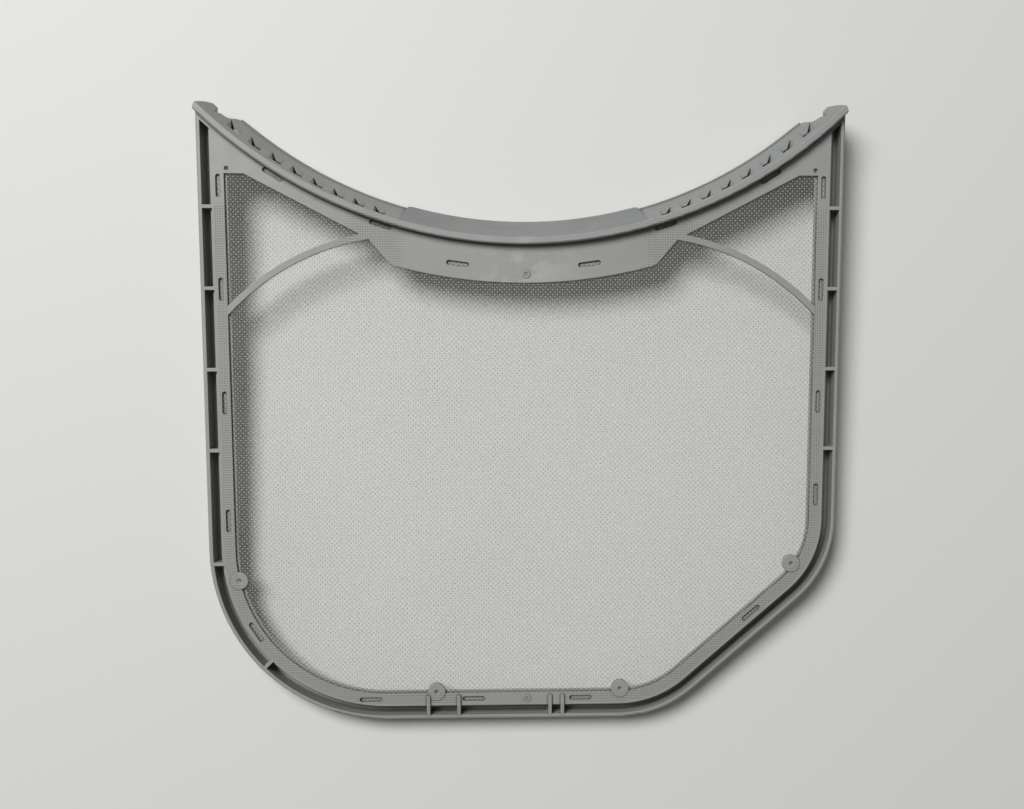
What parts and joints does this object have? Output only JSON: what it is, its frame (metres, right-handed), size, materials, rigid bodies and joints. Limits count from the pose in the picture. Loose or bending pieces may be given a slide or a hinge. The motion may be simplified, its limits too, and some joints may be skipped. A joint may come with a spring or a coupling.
{
  "type": "tumble dryer lint filter",
  "caption": "Grey moulded tumble dryer lint filter: a channelled frame moulded round a woven screen, with a scalloped panel and a curved, louvred cap that carries a grip pad.",
  "frame": {"origin": "under the middle of the filter's box, at the level of the cap's back edge", "axes": "+X across the filter, +Y from the foot edge towards the cap, +Z out of the face of the screen"},
  "size_m": [0.2932, 0.2816, 0.028],
  "materials": {
    "grey_plastic": "fine matt",
    "screen_weave": "woven filament"
  },
  "bodies": {
    "root": {"filter_frame": "grey_plastic", "lint_screen": "screen_weave"}
  },
  "joints": []
}
